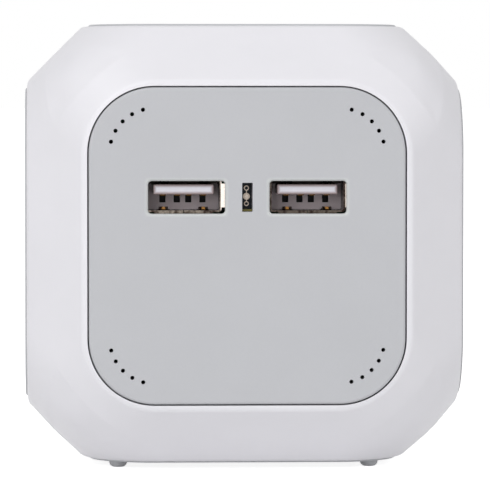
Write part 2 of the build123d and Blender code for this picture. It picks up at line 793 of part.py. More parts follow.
def build_nodes():
    nodes = {}
    nodes["housing_front"], nodes["housing_rear"] = housing_halves()
    nodes["housing_screws"] = Compound(housing_screws())
    nodes["front_panel"] = on_face("front", front_panel())
    nodes["base_panel"] = on_face("base", base_panel())
    nodes["inlet_gland"] = inlet_gland()

    plain_socket = socket_panel()
    live_side = {"left": -1, "right": 1, "top": -1, "rear": 1}
    carrier_screws = []
    for name in socket_faces:
        side = live_side[name]
        nodes[f"socket_panel_{name}"] = on_face(name, plain_socket)
        nodes[f"shutter_{name}"] = on_face(name, shutter())
        nodes[f"shutter_spring_{name}"] = on_face(name, shutter_spring())
        nodes[f"contact_carrier_{name}"] = on_face(name, carrier())
        nodes[f"live_contact_{name}"] = on_face(name, pin_contact(side, 1))
        nodes[f"neutral_contact_{name}"] = on_face(name, pin_contact(-side, -1))
        nodes[f"earth_clip_{name}"] = on_face(name, earth_clip())
        carrier_screws += [on_face(name, carrier_screw(way)) for way in (-1, 1)]
    nodes["socket_panel_rear"] -= inlet_clearance(inlet_sleeve_radius + inlet_relief)
    nodes["carrier_screws"] = Compound(carrier_screws)
    nodes["live_link"] = live_link()
    nodes["neutral_link"] = neutral_link()
    nodes["earth_link"] = earth_link()

    for label, place in zip(("left", "right"), usb_places()):
        nodes[f"usb_shell_{label}"] = on_face("front", Pos(*place, 0) * usb_shell())
        nodes[f"usb_tongue_{label}"] = on_face("front", Pos(*place, 0) * usb_tongue())
        nodes[f"usb_contacts_{label}"] = Compound(
            [on_face("front", Pos(*place, 0) * contact) for contact in usb_contacts()])
    nodes["usb_board"] = on_face("front", usb_board())
    nodes["board_screws"] = Compound([on_face("front", board_screw(p)) for p in board_posts()])
    nodes["led_holder"] = on_face("front", led_holder())
    nodes["led_body"] = on_face("front", led_body())
    nodes["led_frame"] = on_face("front", led_frame())
    nodes["transformer_core"] = on_face("front", transformer_core())
    nodes["transformer_winding"] = on_face("front", transformer_winding())
    nodes["input_capacitor"] = on_face("front", can(input_can[0], part_room, *input_can[1:]))
    nodes["output_capacitors"] = Compound([
        on_face("front", can(output_can_radius, part_room - output_can_below_room, *place))
        for place in output_cans_at])
    nodes["film_capacitor"] = on_face("front", flat_part(*film_size, part_room, *film_at))
    nodes["fuse"] = on_face("front", flat_part(*fuse_size, *fuse_at))
    nodes["control_chip"] = on_face("front", flat_part(*chip_size, *chip_at))
    return nodes


os.makedirs("parts", exist_ok=True)
for node_name, node_shape in build_nodes().items():
    export_step(node_shape, f"parts/{node_name}.step")
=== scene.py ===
import bmesh
import bpy
from math import cos, pi, radians, sin, sqrt, tan
from mathutils import Matrix, Vector


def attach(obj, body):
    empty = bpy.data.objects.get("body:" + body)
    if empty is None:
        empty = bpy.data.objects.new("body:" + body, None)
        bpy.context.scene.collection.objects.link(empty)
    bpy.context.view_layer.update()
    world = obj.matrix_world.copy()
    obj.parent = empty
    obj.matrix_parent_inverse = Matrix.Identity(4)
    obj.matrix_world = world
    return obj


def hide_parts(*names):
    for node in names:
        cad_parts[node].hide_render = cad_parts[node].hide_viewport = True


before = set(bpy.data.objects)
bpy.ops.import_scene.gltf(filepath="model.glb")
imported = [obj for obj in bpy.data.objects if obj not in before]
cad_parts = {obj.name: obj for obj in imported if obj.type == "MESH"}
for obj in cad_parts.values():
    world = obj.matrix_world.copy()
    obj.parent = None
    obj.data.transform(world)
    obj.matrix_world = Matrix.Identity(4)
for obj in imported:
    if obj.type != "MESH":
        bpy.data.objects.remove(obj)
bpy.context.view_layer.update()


# ---- Housing ----
# The white cube that holds everything: two shells of ABS, injection moulded, that meet in a
# fine seam half way back. Its edges are cut at 45 degrees into strips, the strips run into
# each other over rounded corners, and a small lip leads from them onto each opening.
middle = Vector((0, 0, 0.0396))
housing_half = 0.0382
strip_leg = 0.00975
strip_wall = 0.0022
crease_round = 0.019
lip_round = 0.0017
rim_depth = 0.0056
hollow_corner_reach = 0.05105  # from the middle to the wall behind each rounded corner
opening_side = 0.0553
opening_corner = 0.01165
groove_side = 0.0585           # the groove behind each rim takes the flange of a panel
groove_corner = 0.01325
groove_from = 0.034
groove_to = 0.0357
screw_post_at = 0.0272
screw_post_radius = 0.0034
screw_post_end = 0.0321
screw_recess_radius = 0.0024
screw_recess_from = 0.012
screw_hole_radius = 0.0014
screw_hole_to = 0.014
inlet_radius = 0.005
seam_bevel = 0.00014
strip_plane = (2 * housing_half - strip_leg) / sqrt(2)

# Each face of the cube: which way it looks, and the line on which its pins or windows lie
faces = {
    "front": ((0, -1, 0), (1, 0, 0)),
    "rear": ((0, 1, 0), (0, 0, 1)),
    "right": ((1, 0, 0), (0, 1, 0)),
    "left": ((-1, 0, 0), (0, -1, 0)),
    "top": ((0, 0, 1), (1, 0, 0)),
    "base": ((0, 0, -1), (1, 0, 0)),
}
outlook = {**faces, "inlet": ((0, sqrt(0.5), -sqrt(0.5)), (1, 0, 0))}


def only(piece):
    """Select one piece alone and make it active."""
    bpy.ops.object.select_all(action="DESELECT")
    piece.select_set(True)
    bpy.context.view_layer.objects.active = piece


def settle():
    """Work the place, turn and scale of the selected piece into its shape."""
    bpy.ops.object.transform_apply(location=True, rotation=True, scale=True)


def choose(piece, kind, test):
    """In edit mode, select just the vertices, edges or faces that pass a test."""
    bpy.ops.mesh.select_mode(type=kind)
    bpy.ops.mesh.select_all(action="DESELECT")
    shape = bmesh.from_edit_mesh(piece.data)
    shape.select_mode = {kind}
    for part in {"VERT": shape.verts, "EDGE": shape.edges, "FACE": shape.faces}[kind]:
        if test(part):
            part.select_set(True)
    shape.select_flush_mode()
    bmesh.update_edit_mesh(piece.data)


def round_edges(piece, test, offset, segments, clamp_overlap=False):
    """Bevel the edges of a piece that pass a test."""
    only(piece)
    bpy.ops.object.mode_set(mode="EDIT")
    choose(piece, "EDGE", test)
    bpy.ops.mesh.bevel(offset=offset, segments=segments, affect="EDGES",
                       clamp_overlap=clamp_overlap)
    bpy.ops.object.mode_set(mode="OBJECT")


def carve(piece, tool, operation="DIFFERENCE"):
    """Cut a tool out of a piece, or weld it on, and clear the tool away."""
    step = piece.modifiers.new("carve", "BOOLEAN")
    step.operation = operation
    step.solver = "EXACT"
    step.object = tool
    only(piece)
    bpy.ops.object.modifier_apply(modifier=step.name)
    bpy.data.objects.remove(tool)


def rounded_block(size_x, size_y, low, high, corner, steps=8, x=0.0, y=0.0):
    """A block with rounded upright edges, between two levels."""
    bpy.ops.object.select_all(action="DESELECT")
    bpy.ops.mesh.primitive_cube_add(size=1, location=(x, y, (low + high) / 2))
    piece = bpy.context.object
    piece.scale = (size_x, size_y, high - low)
    settle()
    round_edges(piece, lambda e: abs(e.verts[0].co.z - e.verts[1].co.z) > (high - low) / 2,
                corner, steps)
    return piece


def turned_rod(radius, low, high, x=0.0, y=0.0, steps=48):
    """A round rod between two levels."""
    bpy.ops.object.select_all(action="DESELECT")
    bpy.ops.mesh.primitive_cylinder_add(vertices=steps, radius=radius, depth=high - low,
                                        location=(x, y, (low + high) / 2))
    piece = bpy.context.object
    settle()
    return piece


def put_on_face(piece, name):
    """Take a piece made looking up from the cube's middle to a face, or to the inlet."""
    looks, along = (Vector(v) for v in outlook[name])
    turn = Matrix((along, looks.cross(along), looks)).transposed().to_4x4()
    piece.matrix_world = Matrix.Translation(middle) @ turn
    only(piece)
    settle()
    return piece


def smooth(piece, angle=32):
    """Shade a finished piece smooth up to an angle, with its flats kept flat."""
    only(piece)
    bpy.ops.object.shade_smooth_by_angle(angle=radians(angle))
    even = piece.modifiers.new("even", "WEIGHTED_NORMAL")
    even.keep_sharp = True
    bpy.ops.object.modifier_apply(modifier=even.name)


def cut_cube(name, half, leg, corner_round=0):
    """A cube with its edges cut at 45 degrees, and the creases at its corners rounded."""
    core = half - leg / 2
    bpy.ops.object.select_all(action="DESELECT")
    bpy.ops.mesh.primitive_cube_add(size=2 * core)
    piece = bpy.context.object
    piece.name = name
    bpy.ops.object.mode_set(mode="EDIT")
    bpy.ops.mesh.select_all(action="SELECT")
    bpy.ops.mesh.inset(thickness=leg / 2, depth=leg / 2, use_individual=True)
    bpy.ops.mesh.select_all(action="SELECT")
    bpy.ops.mesh.dissolve_limited(angle_limit=radians(1))

    def at_corner(vertex):
        x, y, z = (abs(c) for c in vertex.co)
        return max(abs(x - y), abs(y - z)) < 1e-6

    if corner_round:
        choose(piece, "EDGE", lambda e: at_corner(e.verts[0]) or at_corner(e.verts[1]))
        bpy.ops.mesh.bevel(offset=corner_round * tan(radians(30)), segments=20,
                           affect="EDGES", clamp_overlap=False)
    bpy.ops.object.mode_set(mode="OBJECT")
    return piece


def linear(code):
    """An sRGB hex colour as the linear values that the shaders take."""
    parts = [int(code[place:place + 2], 16) / 255 for place in (1, 3, 5)]
    return [c / 12.92 if c <= 0.04045 else ((c + 0.055) / 1.055) ** 2.4 for c in parts] + [1]


def new_finish(name):
    """An empty material for one real finish."""
    finish = bpy.data.materials.new(name)
    finish.use_nodes = True
    finish.node_tree.nodes.clear()
    return finish


def add_node(finish, kind, inputs=None, **settings):
    """Add a node with its settings. An input takes a value, a hex colour, or a link: an
    output, or a node for the first output that it has in use."""
    node = finish.node_tree.nodes.new("ShaderNode" + kind)
    for name, value in settings.items():
        setattr(node, name, value)
    for name, value in (inputs or {}).items():
        if isinstance(value, bpy.types.Node):
            value = next(out for out in value.outputs if not out.is_unavailable)
        if isinstance(value, bpy.types.NodeSocket):
            finish.node_tree.links.new(value, node.inputs[name])
        else:
            node.inputs[name].default_value = linear(value) if isinstance(value, str) else value
    return node


def close_finish(finish, tone, inputs, relief=None):
    """Give a finish its shader. Its relief is a strength, a depth and what shapes it."""
    inputs = {"Base Color": tone, **inputs}
    if relief:
        inputs["Normal"] = add_node(finish, "Bump", dict(zip(
            ("Strength", "Distance", "Height"), relief)))
    shader = add_node(finish, "BsdfPrincipled", inputs)
    add_node(finish, "OutputMaterial", {"Surface": shader})


# White ABS from a fine spark-eroded tool: it gives a satin sheen, a faint cloudiness where
# the plastic flowed, and a grain of about 0.4 mm that shows only where light glances off.
white_abs = new_finish("white_abs_moulded")
place = add_node(white_abs, "TexCoord").outputs["Object"]
cloud = add_node(white_abs, "TexNoise",
                 {"Vector": place, "Scale": 70, "Detail": 4, "Roughness": 0.6})
grain = add_node(white_abs, "TexNoise", {"Vector": place, "Scale": 2500, "Detail": 2})
tone = add_node(white_abs, "Mix", {0: cloud, 6: "#E9E8ED", 7: "#F0EFF4"}, data_type="RGBA")
sheen = add_node(white_abs, "MapRange", {"Value": cloud, "To Min": 0.36, "To Max": 0.46})
close_finish(white_abs, tone, {"IOR": 1.54, "Roughness": sheen}, (0.2, 0.00001, grain))


def flat_edge(edge):
    """An edge on the outline of one of the six flats."""
    sides = [abs(max(abs(c) for c in f.calc_center_median()) - housing_half) < 1e-6
             for f in edge.link_faces]
    return sides[0] != sides[1]


housing_front = cut_cube("housing_front_shell", housing_half, strip_leg, crease_round)
round_edges(housing_front, flat_edge, lip_round * tan(radians(22.5)), 6)

rim_back = housing_half - rim_depth
inner_leg = 2 * rim_back - (strip_plane - strip_wall) * sqrt(2)
hollow = cut_cube("hollow", rim_back, inner_leg)
bpy.ops.object.select_all(action="DESELECT")
bpy.ops.mesh.primitive_uv_sphere_add(segments=64, ring_count=32, radius=hollow_corner_reach)
carve(hollow, bpy.context.object, "INTERSECT")
carve(housing_front, hollow)
housing_front.matrix_world = Matrix.Translation(middle)
only(housing_front)
settle()
for x in (-screw_post_at, screw_post_at):
    for y in (-screw_post_at, screw_post_at):
        post = turned_rod(screw_post_radius, -screw_post_end, screw_post_end, x, y)
        carve(housing_front, put_on_face(post, "front"), "UNION")
for name in faces:
    opening = rounded_block(opening_side, opening_side, rim_back - 0.003, housing_half + 0.003,
                            opening_corner, 20)
    carve(opening, rounded_block(groove_side, groove_side, groove_from, groove_to,
                                 groove_corner, 20), "UNION")
    carve(housing_front, put_on_face(opening, name))
for x in (-screw_post_at, screw_post_at):
    for y in (-screw_post_at, screw_post_at):
        recess = turned_rod(screw_recess_radius, -housing_half, -screw_recess_from, x, y)
        carve(recess, turned_rod(screw_hole_radius, -screw_recess_from - 0.001, screw_hole_to,
                                 x, y), "UNION")
        carve(housing_front, put_on_face(recess, "front"))
inlet = turned_rod(inlet_radius, strip_plane - 0.011, strip_plane + 0.002, steps=64)
carve(housing_front, put_on_face(inlet, "inlet"))

bpy.ops.object.duplicate()
housing_rear = bpy.context.object
housing_rear.name = "housing_rear_shell"


def outer_seam(edge):
    """An edge of the seam on the outside of the housing."""
    ends = [v.co - middle for v in edge.verts]
    out = (ends[0] + ends[1]).normalized()
    return (all(abs(e.y) < 1e-6 for e in ends)
            and any(abs(f.normal.y) < 0.5 and f.normal.dot(out) > 0.6 for f in edge.link_faces)
            and (ends[0] + ends[1]).length / 2 > housing_half)


for half, side in ((housing_front, 1), (housing_rear, -1)):
    other = rounded_block(0.1, 0.1, -0.05, 0, 0.001, 1)
    other.matrix_world = Matrix.Translation(middle) @ Matrix.Rotation(side * pi / 2, 4, "X")
    only(other)
    settle()
    carve(half, other)
    round_edges(half, outer_seam, seam_bevel, 2)
    smooth(half)
    half.data.materials.append(white_abs)
    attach(half, "root")
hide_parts("housing_front")
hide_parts("housing_rear")


# ---- Housing screws ----
# Four zinc-plated thread-forming screws that pull the rear half of the housing onto the
# front half, from recesses at the corners of the rear opening.
def mottled(name, grain, tones, sheen, inputs, relief=None):
    """A finish whose tone, sheen and relief all follow one noise."""
    finish = new_finish(name)
    place = add_node(finish, "TexCoord").outputs["Object"]
    fleck = add_node(finish, "TexNoise", {"Vector": place, **grain})
    tone = add_node(finish, "Mix", {0: fleck, 6: tones[0], 7: tones[1]}, data_type="RGBA")
    if isinstance(sheen, tuple):
        sheen = add_node(finish, "MapRange",
                         {"Value": fleck, "To Min": sheen[0], "To Max": sheen[1]})
    close_finish(finish, tone, {"Roughness": sheen, **inputs}, relief and (*relief, fleck))
    return finish


zinc_steel = mottled("zinc_plated_steel", {"Scale": 900, "Detail": 3}, ("#B4B7BA", "#C9CCD0"),
                     (0.26, 0.42), {"Metallic": 1.0}, (0.15, 0.00001))


def dress(node_name, finish):
    """Give a carried-over solid its finish."""
    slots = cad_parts[node_name].data.materials
    slots.clear()
    slots.append(finish)


for node_name in ("housing_screws", "carrier_screws", "board_screws"):
    dress(node_name, zinc_steel)


# ---- Front panel ----
# A plate of grey ABS pressed into the front opening, held by the flange behind its edge. It
# has a window for each USB receptacle, a slot for the indicator between them, and five small
# vents in each corner. Four posts on its back carry the charger's board.
face = 0.0385
panel_back = 0.0356
flange_back = 0.0341
flange_side = 0.058
flange_corner = 0.013
flange_width = 0.0016
panel_edge_round = 0.00045
usb_row = 0.0084               # height of the windows above the middle of the cube
window_size = (0.0133, 0.00565)
window_places = (-0.0105, 0.0105)
window_corner = 0.0006
window_round = 0.00045
rim_highlight_start = 0.0002          # how far inside a window's outline its painted highlight begins
window_wall = 0.0012           # the panel is thinner round the windows, to clear the shells
pocket_size = (0.0148, 0.00742)
pocket_places = (-0.011, 0.01045)
pocket_row = 0.0087
led_slot = (0.00184, 0.00504)
vent_radius = 0.000365
vent_centre = 0.016
vent_arc = 0.0078
vent_step = 15
board_front = 0.0249
board_post_at = 0.0196
board_post_radius = 0.0023
board_post_hole = (0.0008, 0.0046)      # radius, depth

# Grey ABS with a matt, finely eroded face: almost no sheen, and a light speckle of about
# 0.5 mm in tone and relief, as coarse as it needs to be to show. The round rims of the two
# windows are painted lighter: a painted highlight where their rounding catches the lamps.
grey_abs = new_finish("grey_abs_moulded")
place = add_node(grey_abs, "TexCoord").outputs["Object"]
cloud = add_node(grey_abs, "TexNoise",
                 {"Vector": place, "Scale": 55, "Detail": 5, "Roughness": 0.62})
speckle = add_node(grey_abs, "TexNoise", {"Vector": place, "Scale": 2000, "Detail": 2})
share = add_node(grey_abs, "Math", {0: speckle, 1: 0.35, 2: cloud}, operation="MULTIPLY_ADD")
tone = add_node(grey_abs, "Mix", {0: share, 6: "#BBBCC0", 7: "#C3C4C8"}, data_type="RGBA")
spot = add_node(grey_abs, "SeparateXYZ", {"Vector": place}).outputs
squares = []
for way, centre, size in zip("XZ", (window_places[1], middle.z + usb_row), window_size):
    past = spot[way]
    for operation, number in (("ABSOLUTE", 0), ("SUBTRACT", centre), ("ABSOLUTE", 0),
                              ("SUBTRACT", size / 2 - rim_highlight_start), ("MAXIMUM", 0)):
        past = add_node(grey_abs, "Math", {0: past, 1: number}, operation=operation)
    squares.append(add_node(grey_abs, "Math", {0: past, 1: past}, operation="MULTIPLY"))
distance = add_node(grey_abs, "Math", dict(enumerate(squares)), operation="ADD")
distance = add_node(grey_abs, "Math", {0: distance}, operation="SQRT")
# Painted highlight on each window's round rim, fading out from the rim's edge.
painted_rim_highlight = add_node(grey_abs, "MapRange", {
    "Value": distance, "From Min": rim_highlight_start + 1.5 * window_round, "From Max": rim_highlight_start})
ahead = add_node(grey_abs, "Math", {0: spot["Y"], 1: -panel_back}, operation="LESS_THAN")
painted_rim_highlight = add_node(grey_abs, "Math", {0: painted_rim_highlight, 1: ahead}, operation="MULTIPLY")
tone = add_node(grey_abs, "Mix", {0: painted_rim_highlight, 6: tone, 7: "#D2D5D4"}, data_type="RGBA")
sheen = add_node(grey_abs, "MapRange", {"Value": cloud, "To Min": 0.48, "To Max": 0.6})
close_finish(grey_abs, tone, {"IOR": 1.54, "Roughness": sheen}, (0.25, 0.00001, speckle))


def at_level(edge, level):
    """Whether an edge lies at one level."""
    return all(abs(v.co.z - level) < 1e-6 for v in edge.verts)


def face_plate(name):
    """A flange with the panel's face drawn up out of it, and the face's edge rounded."""
    plate = rounded_block(flange_side, flange_side, flange_back, panel_back, flange_corner, 24)
    plate.name = name
    only(plate)
    bpy.ops.object.mode_set(mode="EDIT")
    choose(plate, "FACE", lambda f: f.normal.z > 0.5)
    bpy.ops.mesh.inset(thickness=flange_width)
    bpy.ops.mesh.extrude_region_move(
        TRANSFORM_OT_translate={"value": (0, 0, face - panel_back)})
    bpy.ops.object.mode_set(mode="OBJECT")
    round_edges(plate, lambda e: at_level(e, face), panel_edge_round, 5)
    return plate


def window_cutter(x):
    """A cutter for one window, flared at the top so that the window's rim comes out round."""
    start = 0.00001                # how far above the face the flare begins
    wider = 2 * (window_round + 4 * start)
    cutter = rounded_block(window_size[0] + wider, window_size[1] + wider, face + start,
                           face + 0.001, window_corner + wider / 2, 8, x, usb_row)
    only(cutter)
    bpy.ops.object.mode_set(mode="EDIT")
    choose(cutter, "FACE", lambda f: f.normal.z < -0.5)
    across, down = -4 * start, -start
    for step in range(1, 6):
        next_across = window_round * sin(radians(18 * step))
        next_down = window_round * (1 - cos(radians(18 * step)))
        bpy.ops.mesh.inset(thickness=next_across - across, depth=next_down - down)
        across, down = next_across, next_down
    bpy.ops.mesh.extrude_region_move(
        TRANSFORM_OT_translate={"value": (0, 0, -window_wall)})
    bpy.ops.object.mode_set(mode="OBJECT")
    return cutter


front_panel = face_plate("front_panel_shell")
for x, shell_x in zip(window_places, pocket_places):
    carve(front_panel, rounded_block(*pocket_size, flange_back - 0.001, face - window_wall,
                                     0.0002, 2, shell_x, pocket_row))
    carve(front_panel, window_cutter(x))
carve(front_panel, rounded_block(*led_slot, flange_back - 0.001, face + 0.001, 0.00015, 3, 0,
                                 usb_row))
for quarter in range(4):
    for step in range(-2, 3):
        angle = radians(45 + 90 * quarter + vent_step * step)
        corner = radians(45 + 90 * quarter)
        x = vent_centre * sqrt(2) * cos(corner) + vent_arc * cos(angle)
        y = vent_centre * sqrt(2) * sin(corner) + vent_arc * sin(angle)
        carve(front_panel, turned_rod(vent_radius, flange_back - 0.001, face + 0.001, x, y,
                                      steps=20))
for x in (-board_post_at, board_post_at):
    for y in (-board_post_at, board_post_at):
        carve(front_panel, turned_rod(board_post_radius, board_front, flange_back + 0.0005,
                                      x, y), "UNION")
        carve(front_panel, turned_rod(board_post_hole[0], board_front - 0.001,
                                      board_front + board_post_hole[1], x, y, steps=20))
put_on_face(front_panel, "front")
smooth(front_panel)
front_panel.data.materials.append(grey_abs)
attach(front_panel, "root")
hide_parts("front_panel")


# ---- Base panel ----
# The same plate of grey ABS, plain, in the opening underneath. Four small nubs moulded near
# its corners carry the cube, and its back is cut away where the cord comes in.
nub_at = 0.0222
nub_height = 0.0011
nub_radius = 0.0016
nub_round = 0.00095
inlet_relief = 0.0056

base_panel = face_plate("base_panel_shell")
for x in (-nub_at, nub_at):
    for y in (-nub_at, nub_at):
        nub = turned_rod(nub_radius, face - 0.0005, face + nub_height, x, y, steps=32)
        round_edges(nub, lambda e: all(v.co.z > face for v in e.verts), nub_round, 6)
        carve(base_panel, nub, "UNION")
put_on_face(base_panel, "base")
relief_hole = turned_rod(inlet_relief, strip_plane - 0.012, strip_plane + 0.002, steps=64)
carve(base_panel, put_on_face(relief_hole, "inlet"))
smooth(base_panel)
base_panel.data.materials.append(grey_abs)
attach(base_panel, "root")
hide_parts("base_panel")


# ---- Socket panels ----
# Four mouldings of grey ABS: a face plate with the round well of an earthed socket sunk in
# it. Two ribs guide the plug, two holes take its pins and two slots let the earth clip
# through. A post and two bosses behind the floor hold the shutter and the contacts.
well_radius = 0.02
well_outside = 0.0215
floor_front = 0.021
floor_back = 0.019
floor_chamfer = 0.0015
outside_chamfer = 0.003
mouth_round = 0.0007
rib_width = 0.005
rib_reach = 0.0179
rib_round = 0.0004
rib_below_face = 0.0015
pin_at = 0.0095
pin_hole_radius = 0.00265
pin_hole_flare = 0.0006
rib_span = 0.0415
clip_slot = (0.0061, 0.0011)
clip_leg_at = 0.0181
boss_at = (0.006, 0.009)
boss_radius = 0.002
boss_end = 0.015
boss_hole_radius = 0.0008
shutter_post = (0.0015, 0.0152, 0, 0)              # radius, end level, place
spring_pin = (0.0009, 0.01695, -0.0064, 0.0112)

socket_panel = face_plate("socket_panel_left_shell")
well = turned_rod(well_outside, floor_back, panel_back + 0.001, steps=96)
round_edges(well, lambda e: at_level(e, floor_back), outside_chamfer, 1)
carve(socket_panel, well, "UNION")
hollow = turned_rod(well_radius, floor_front, face + 0.001, steps=96)
round_edges(hollow, lambda e: at_level(e, floor_front), floor_chamfer, 1)
carve(socket_panel, hollow)
round_edges(socket_panel, lambda e: at_level(e, face) and all(
    abs(v.co.xy.length - well_radius) < 1e-5 for v in e.verts)
    and any(abs(f.normal.z) < 0.5 for f in e.link_faces), mouth_round, 6)

ribs = rounded_block(rib_span, rib_width, floor_front - 0.0005, face - rib_below_face,
                     0.0001, 1)
carve(ribs, turned_rod(rib_reach, floor_front - 0.001, face, steps=96))
round_edges(ribs, lambda e: all(v.co.xy.length < rib_reach + 0.0008 for v in e.verts) and (
    abs(e.verts[0].co.z - e.verts[1].co.z) > 0.01
    or all(v.co.z > face - rib_below_face - 1e-5 for v in e.verts))
    and e.calc_face_angle(0) > 0.5, rib_round, 4)
carve(socket_panel, ribs, "UNION")

for side in (-1, 1):
    x = side * pin_at
    carve(socket_panel, turned_rod(pin_hole_radius, floor_back - 0.001, floor_front + 0.001, x))
    bpy.ops.object.select_all(action="DESELECT")
    bpy.ops.mesh.primitive_cone_add(
        vertices=48, radius1=pin_hole_radius - 0.0002, radius2=pin_hole_radius + pin_hole_flare,
        depth=pin_hole_flare + 0.0002,
        location=(x, 0, floor_front - pin_hole_flare / 2 - 0.0001))
    flare = bpy.context.object
    settle()
    carve(socket_panel, flare)
    carve(socket_panel, rounded_block(*clip_slot, floor_back - 0.001, floor_front + 0.001,
                                      0.0002, 2, 0, side * clip_leg_at))
    boss = [side * way for way in boss_at]
    carve(socket_panel, turned_rod(boss_radius, boss_end, floor_back + 0.0005, *boss), "UNION")
    carve(socket_panel, turned_rod(boss_hole_radius, boss_end - 0.001, floor_back + 0.0005,
                                   *boss, steps=20))
for radius, end, x, y in (shutter_post, spring_pin):
    carve(socket_panel, turned_rod(radius, end, floor_back + 0.0005, x, y), "UNION")
smooth(socket_panel)
socket_panel.data.materials.append(grey_abs)


def for_four_sockets(first, name_pattern):
    """A piece made for the left socket, with copies of it for the other three."""
    pieces = {"left": first}
    for name in ("right", "top", "rear"):
        only(first)
        bpy.ops.object.duplicate()
        pieces[name] = bpy.context.object
        pieces[name].name = name_pattern.format(name)
    return pieces


socket_panels = for_four_sockets(socket_panel, "socket_panel_{}_shell")
for name, panel in socket_panels.items():
    put_on_face(panel, name)
relief_hole = turned_rod(inlet_relief, strip_plane - 0.012, strip_plane + 0.002, steps=64)
carve(socket_panels["rear"], put_on_face(relief_hole, "inlet"))
for name, panel in socket_panels.items():
    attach(panel, "root")
    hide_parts(f"socket_panel_{name}")


# ---- Shutters ----
# Behind the floor of each well, a two-bladed shutter of white PBT turns on the post and
# covers both pin holes until the two pins push its slanted blades aside together.
white_pbt = mottled("white_pbt_moulded", {"Scale": 300, "Detail": 3}, ("#DEDCD6", "#E9E7E1"),
                    (0.36, 0.5), {"IOR": 1.55}, (0.15, 0.00002))
for name in socket_panels:
    dress(f"shutter_{name}", white_pbt)


# ---- Shutter springs ----
# A leaf of stainless spring steel beside each shutter, hooked round a pin of the panel. It
# turns the shutter back over the holes.
spring_steel = mottled("stainless_spring_steel", {"Scale": 1500, "Detail": 2},
                       ("#A5A8AC", "#BABDC1"), (0.2, 0.32), {"Metallic": 1.0})
for name in socket_panels:
    dress(f"shutter_spring_{name}", spring_steel)


# ---- Contact carriers ----
# A plate of glass-filled polyamide screwed behind each well, with a tower round each contact.
# The glass shows as a dull, slightly mottled surface.
filled_polyamide = mottled("glass_filled_polyamide",
                           {"Scale": 1100, "Detail": 4, "Distortion": 0.6},
                           ("#A3A29D", "#B7B6B1"), (0.5, 0.68), {"IOR": 1.53}, (0.3, 0.00002))
for name in socket_panels:
    dress(f"contact_carrier_{name}", filled_polyamide)


# ---- Contacts and links ----
# Stamped brass: a clip round each pin, joined by one live and one neutral strip in the middle
# of the cube. Rolled brass has a soft gleam and darkens unevenly with age.
rolled_brass = mottled("rolled_brass", {"Scale": 240, "Detail": 5}, ("#B98F3E", "#D9B566"),
                       (0.24, 0.42), {"Metallic": 1.0})
for name in socket_panels:
    dress(f"live_contact_{name}", rolled_brass)
    dress(f"neutral_contact_{name}", rolled_brass)
dress("live_link", rolled_brass)
dress("neutral_link", rolled_brass)


# ---- Earth clips ----
# A stirrup of nickel-plated spring bronze under the floor of each well. Its two legs rise
# through the slots and bow inwards to grip the earth strips of the plug.
clip_metal = 0.0006
clip_width = 0.0056
clip_web_level = 0.0187
clip_leg_line = ((0.0181, 0.021), (0.0191, 0.02625), (0.0172, 0.03115), (0.0191, 0.035))
clip_bend_round = 0.0007
clip_tip_round = 0.0012
clip_hole_radius = 0.00175
clip_tail = (0.003, 0.016, -0.0165)    # width, end level, place across

nickel_bronze = mottled("nickel_plated_bronze", {"Scale": 500, "Detail": 4},
                        ("#B9B4A8", "#CFCBC1"), (0.2, 0.34), {"Metallic": 1.0},
                        (0.1, 0.00001))

bpy.ops.object.select_all(action="DESELECT")
bpy.ops.mesh.primitive_plane_add(size=1, location=(0, 0, clip_web_level))
earth_clip = bpy.context.object
earth_clip.name = "earth_clip_left_bent"
earth_clip.scale = (clip_width, 2 * clip_leg_at, 1)
settle()
bpy.ops.object.mode_set(mode="EDIT")
for side in (-1, 1):
    y, z = clip_leg_at, clip_web_level
    for next_y, next_z in clip_leg_line:
        choose(earth_clip, "EDGE", lambda e: all(
            abs(v.co.y - side * y) < 1e-6 and abs(v.co.z - z) < 1e-6 for v in e.verts))
        bpy.ops.mesh.extrude_region_move(
            TRANSFORM_OT_translate={"value": (0, side * (next_y - y), next_z - z)})
        y, z = next_y, next_z
choose(earth_clip, "EDGE", lambda e: len(e.link_faces) == 2 and e.calc_face_angle(0) > 0.05)
bpy.ops.mesh.bevel(offset=clip_bend_round, segments=5, affect="EDGES", clamp_overlap=False)
choose(earth_clip, "VERT", lambda v: abs(v.co.z - clip_leg_line[-1][1]) < 1e-6)
bpy.ops.mesh.bevel(offset=clip_tip_round, segments=5, affect="VERTICES", clamp_overlap=False)
bpy.ops.mesh.select_all(action="SELECT")
bpy.ops.mesh.normals_make_consistent(inside=False)
bpy.ops.object.mode_set(mode="OBJECT")
thicken = earth_clip.modifiers.new("thicken", "SOLIDIFY")
thicken.thickness = clip_metal
thicken.offset = 0
soften = earth_clip.modifiers.new("soften", "BEVEL")
soften.width = 0.0001
soften.segments = 2
soften.limit_method = "ANGLE"
soften.angle_limit = radians(50)
only(earth_clip)
bpy.ops.object.modifier_apply(modifier="thicken")
bpy.ops.object.modifier_apply(modifier="soften")
carve(earth_clip, turned_rod(clip_hole_radius, floor_back - 0.002, floor_back + 0.001))
carve(earth_clip, rounded_block(clip_tail[0], clip_metal, clip_tail[1], clip_web_level,
                                0.0001, 1, 0, clip_tail[2]), "UNION")
smooth(earth_clip)
earth_clip.data.materials.append(nickel_bronze)
for name, clip in for_four_sockets(earth_clip, "earth_clip_{}_bent").items():
    put_on_face(clip, name)
    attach(clip, "root")
    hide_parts(f"earth_clip_{name}")
dress("earth_link", nickel_bronze)


